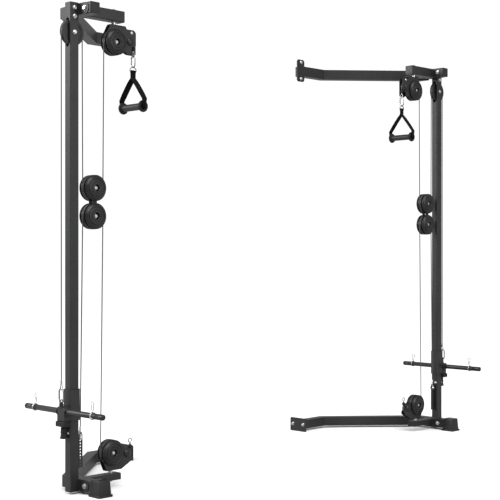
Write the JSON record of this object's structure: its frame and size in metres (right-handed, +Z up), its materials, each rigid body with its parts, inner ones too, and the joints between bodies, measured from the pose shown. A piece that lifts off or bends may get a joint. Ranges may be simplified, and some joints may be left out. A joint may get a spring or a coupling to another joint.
{
  "type": "cable crossover machine",
  "caption": "Two mirrored pulley columns with plate-loaded carriages, floating pulley blocks, swivel heads and handles, on bent arms that bolt to a power rack.",
  "frame": {"origin": "centre of the bounding box at floor level", "axes": "+X to the right along the row of the two columns, +Y back toward the rack, +Z up"},
  "size_m": [2.787, 0.809, 2.133],
  "materials": {
    "frame_paint": "satin charcoal powder coat with a fine texture",
    "black_plastic": "black moulded plastic, lightly grained",
    "pulley_plastic": "black nylon pulley wheel",
    "rubber": "matte black rubber",
    "zinc_steel": "bright zinc-plated steel",
    "coated_cable": "dark grey vinyl jacket over steel wire rope",
    "webbing": "black nylon webbing",
    "grip_foam": "dark grey moulded grip"
  },
  "bodies": {
    "root": {"pulley_arms": "frame_paint", "post_brackets": "frame_paint", "stop_bumpers": "rubber", "tube_end_caps": "black_plastic", "rubber_feet": "black_plastic", "frame_bolts": "zinc_steel", "post_left": "frame_paint", "upper_arm_left": "frame_paint", "lower_arm_left": "frame_paint", "high_cable_left": "coated_cable", "low_cable_left": "coated_cable", "post_right": "frame_paint", "upper_arm_right": "frame_paint", "lower_arm_right": "frame_paint", "high_cable_right": "coated_cable", "low_cable_right": "coated_cable"},
    "carriage_left": {"carriage_left": "frame_paint", "weight_bar_left": "frame_paint", "weight_hook_left": "zinc_steel"},
    "collar_front_left": {"collar_front_left": "zinc_steel"},
    "collar_rear_left": {"collar_rear_left": "zinc_steel"},
    "top_wheel_left": {"top_wheel_left": "pulley_plastic"},
    "float_block_left": {"float_frame_left": "frame_paint", "float_covers_left": "black_plastic"},
    "float_upper_wheel_left": {"float_upper_wheel_left": "pulley_plastic"},
    "float_lower_wheel_left": {"float_lower_wheel_left": "pulley_plastic"},
    "high_head_left": {"high_head_left": "frame_paint", "high_head_covers_left": "black_plastic"},
    "high_head_wheel_left": {"high_head_wheel_left": "pulley_plastic"},
    "high_head_roller_left": {"high_head_roller_left": "pulley_plastic"},
    "low_head_left": {"low_head_left": "frame_paint", "low_head_covers_left": "black_plastic"},
    "low_head_wheel_left": {"low_head_wheel_left": "pulley_plastic"},
    "low_head_roller_left": {"low_head_roller_left": "pulley_plastic"},
    "handle_hook_left": {"handle_hook_left": "zinc_steel"},
    "handle_strap_left": {"handle_strap_left": "webbing"},
    "handle_grip_left": {"handle_grip_left": "grip_foam"},
    "low_hook_left": {"low_hook_left": "zinc_steel"},
    "carriage_right": {"carriage_right": "frame_paint", "weight_bar_right": "frame_paint", "weight_hook_right": "zinc_steel"},
    "collar_front_right": {"collar_front_right": "zinc_steel"},
    "collar_rear_right": {"collar_rear_right": "zinc_steel"},
    "top_wheel_right": {"top_wheel_right": "pulley_plastic"},
    "float_block_right": {"float_frame_right": "frame_paint", "float_covers_right": "black_plastic"},
    "float_upper_wheel_right": {"float_upper_wheel_right": "pulley_plastic"},
    "float_lower_wheel_right": {"float_lower_wheel_right": "pulley_plastic"},
    "high_head_right": {"high_head_right": "frame_paint", "high_head_covers_right": "black_plastic"},
    "high_head_wheel_right": {"high_head_wheel_right": "pulley_plastic"},
    "high_head_roller_right": {"high_head_roller_right": "pulley_plastic"},
    "low_head_right": {"low_head_right": "frame_paint", "low_head_covers_right": "black_plastic"},
    "low_head_wheel_right": {"low_head_wheel_right": "pulley_plastic"},
    "low_head_roller_right": {"low_head_roller_right": "pulley_plastic"},
    "handle_hook_right": {"handle_hook_right": "zinc_steel"},
    "handle_strap_right": {"handle_strap_right": "webbing"},
    "handle_grip_right": {"handle_grip_right": "grip_foam"},
    "low_hook_right": {"low_hook_right": "zinc_steel"}
  },
  "joints": [
    {"name": "carriage_slide_left", "type": "slide", "parent": "root", "child": "carriage_left", "axis": [0, 0, 1], "range_m": [0, 1.3], "deforming": ["high_cable_left"]},
    {"name": "collar_front_slide_left", "type": "slide", "parent": "carriage_left", "child": "collar_front_left", "axis": [0, -1, 0], "range_m": [-0.14, 0.06]},
    {"name": "collar_rear_slide_left", "type": "slide", "parent": "carriage_left", "child": "collar_rear_left", "axis": [0, 1, 0], "range_m": [-0.14, 0.055]},
    {"name": "top_wheel_spin_left", "type": "hinge", "parent": "root", "child": "top_wheel_left", "pos_m": [-1.3275, -0.1325, 1.972], "axis": [0, 1, 0], "continuous": true},
    {"name": "float_slide_left", "type": "slide", "parent": "root", "child": "float_block_left", "axis": [0, 0, -1], "range_m": [0, 0.6], "deforming": ["low_cable_left"]},
    {"name": "float_upper_spin_left", "type": "hinge", "parent": "float_block_left", "child": "float_upper_wheel_left", "pos_m": [-1.2145, -0.1325, 1.311], "axis": [0, 1, 0], "continuous": true},
    {"name": "float_lower_spin_left", "type": "hinge", "parent": "float_block_left", "child": "float_lower_wheel_left", "pos_m": [-1.2145, -0.1325, 1.189], "axis": [0, 1, 0], "continuous": true},
    {"name": "high_head_swivel_left", "type": "hinge", "parent": "root", "child": "high_head_left", "pos_m": [-1.0995, -0.1325, 2.03], "axis": [0, 0, 1], "range_deg": [-25, 25]},
    {"name": "high_head_wheel_spin_left", "type": "hinge", "parent": "high_head_left", "child": "high_head_wheel_left", "pos_m": [-1.0995, -0.1325, 1.9575], "axis": [0, 1, 0], "continuous": true},
    {"name": "high_head_roller_spin_left", "type": "hinge", "parent": "high_head_left", "child": "high_head_roller_left", "pos_m": [-1.0155, -0.1325, 1.9695], "axis": [0, 1, 0], "continuous": true},
    {"name": "handle_pull_left", "type": "slide", "parent": "high_head_left", "child": "handle_hook_left", "axis": [0, 0, -1], "range_m": [0, 1.3]},
    {"name": "handle_swing_left", "type": "hinge", "parent": "handle_hook_left", "child": "handle_strap_left", "pos_m": [-0.9885, -0.1325, 1.842], "axis": [1, 0, 0], "range_deg": [-40, 40]},
    {"name": "handle_grip_spin_left", "type": "hinge", "parent": "handle_strap_left", "child": "handle_grip_left", "pos_m": [-0.9885, -0.1325, 1.681], "axis": [0, 1, 0], "continuous": true},
    {"name": "low_head_swivel_left", "type": "hinge", "parent": "root", "child": "low_head_left", "pos_m": [-1.1175, -0.1325, 0.076], "axis": [0, 0, 1], "range_deg": [-25, 25]},
    {"name": "low_head_wheel_spin_left", "type": "hinge", "parent": "low_head_left", "child": "low_head_wheel_left", "pos_m": [-1.1175, -0.1325, 0.151], "axis": [0, 1, 0], "continuous": true},
    {"name": "low_head_roller_spin_left", "type": "hinge", "parent": "low_head_left", "child": "low_head_roller_left", "pos_m": [-1.0335, -0.1325, 0.139], "axis": [0, 1, 0], "continuous": true},
    {"name": "low_pull_left", "type": "slide", "parent": "low_head_left", "child": "low_hook_left", "axis": [0.5, 0, 0.866], "range_m": [0, 1.2]},
    {"name": "carriage_slide_right", "type": "slide", "parent": "root", "child": "carriage_right", "axis": [0, 0, 1], "range_m": [0, 1.3], "deforming": ["high_cable_right"]},
    {"name": "collar_front_slide_right", "type": "slide", "parent": "carriage_right", "child": "collar_front_right", "axis": [0, -1, 0], "range_m": [-0.14, 0.06]},
    {"name": "collar_rear_slide_right", "type": "slide", "parent": "carriage_right", "child": "collar_rear_right", "axis": [0, 1, 0], "range_m": [-0.14, 0.055]},
    {"name": "top_wheel_spin_right", "type": "hinge", "parent": "root", "child": "top_wheel_right", "pos_m": [1.3275, -0.1325, 1.972], "axis": [0, 1, 0], "continuous": true},
    {"name": "float_slide_right", "type": "slide", "parent": "root", "child": "float_block_right", "axis": [0, 0, -1], "range_m": [0, 0.6], "deforming": ["low_cable_right"]},
    {"name": "float_upper_spin_right", "type": "hinge", "parent": "float_block_right", "child": "float_upper_wheel_right", "pos_m": [1.2145, -0.1325, 1.311], "axis": [0, 1, 0], "continuous": true},
    {"name": "float_lower_spin_right", "type": "hinge", "parent": "float_block_right", "child": "float_lower_wheel_right", "pos_m": [1.2145, -0.1325, 1.189], "axis": [0, 1, 0], "continuous": true},
    {"name": "high_head_swivel_right", "type": "hinge", "parent": "root", "child": "high_head_right", "pos_m": [1.0995, -0.1325, 2.03], "axis": [0, 0, 1], "range_deg": [-25, 25]},
    {"name": "high_head_wheel_spin_right", "type": "hinge", "parent": "high_head_right", "child": "high_head_wheel_right", "pos_m": [1.0995, -0.1325, 1.9575], "axis": [0, 1, 0], "continuous": true},
    {"name": "high_head_roller_spin_right", "type": "hinge", "parent": "high_head_right", "child": "high_head_roller_right", "pos_m": [1.0155, -0.1325, 1.9695], "axis": [0, 1, 0], "continuous": true},
    {"name": "handle_pull_right", "type": "slide", "parent": "high_head_right", "child": "handle_hook_right", "axis": [0, 0, -1], "range_m": [0, 1.3]},
    {"name": "handle_swing_right", "type": "hinge", "parent": "handle_hook_right", "child": "handle_strap_right", "pos_m": [0.9885, -0.1325, 1.842], "axis": [1, 0, 0], "range_deg": [-40, 40]},
    {"name": "handle_grip_spin_right", "type": "hinge", "parent": "handle_strap_right", "child": "handle_grip_right", "pos_m": [0.9885, -0.1325, 1.681], "axis": [0, 1, 0], "continuous": true},
    {"name": "low_head_swivel_right", "type": "hinge", "parent": "root", "child": "low_head_right", "pos_m": [1.1175, -0.1325, 0.076], "axis": [0, 0, 1], "range_deg": [-25, 25]},
    {"name": "low_head_wheel_spin_right", "type": "hinge", "parent": "low_head_right", "child": "low_head_wheel_right", "pos_m": [1.1175, -0.1325, 0.151], "axis": [0, 1, 0], "continuous": true},
    {"name": "low_head_roller_spin_right", "type": "hinge", "parent": "low_head_right", "child": "low_head_roller_right", "pos_m": [1.0335, -0.1325, 0.139], "axis": [0, 1, 0], "continuous": true},
    {"name": "low_pull_right", "type": "slide", "parent": "low_head_right", "child": "low_hook_right", "axis": [-0.5, 0, 0.866], "range_m": [0, 1.2]}
  ],
  "couplings": [
    {"joint": "top_wheel_spin_left", "follows": "carriage_slide_left", "rad_per_m": 18.182},
    {"joint": "float_upper_spin_left", "follows": "carriage_slide_left", "rad_per_m": -18.182},
    {"joint": "float_lower_spin_left", "follows": "float_slide_left", "rad_per_m": 18.182},
    {"joint": "high_head_wheel_spin_left", "follows": "carriage_slide_left", "rad_per_m": 18.182},
    {"joint": "high_head_roller_spin_left", "follows": "carriage_slide_left", "rad_per_m": 37.037},
    {"joint": "handle_pull_left", "follows": "carriage_slide_left", "ratio": 1},
    {"joint": "low_head_wheel_spin_left", "follows": "float_slide_left", "rad_per_m": -36.364},
    {"joint": "low_head_roller_spin_left", "follows": "float_slide_left", "rad_per_m": -74.074},
    {"joint": "low_pull_left", "follows": "float_slide_left", "ratio": 2},
    {"joint": "top_wheel_spin_right", "follows": "carriage_slide_right", "rad_per_m": -18.182},
    {"joint": "float_upper_spin_right", "follows": "carriage_slide_right", "rad_per_m": 18.182},
    {"joint": "float_lower_spin_right", "follows": "float_slide_right", "rad_per_m": -18.182},
    {"joint": "high_head_wheel_spin_right", "follows": "carriage_slide_right", "rad_per_m": -18.182},
    {"joint": "high_head_roller_spin_right", "follows": "carriage_slide_right", "rad_per_m": -37.037},
    {"joint": "handle_pull_right", "follows": "carriage_slide_right", "ratio": 1},
    {"joint": "low_head_wheel_spin_right", "follows": "float_slide_right", "rad_per_m": 36.364},
    {"joint": "low_head_roller_spin_right", "follows": "float_slide_right", "rad_per_m": 74.074},
    {"joint": "low_pull_right", "follows": "float_slide_right", "ratio": 2}
  ]
}
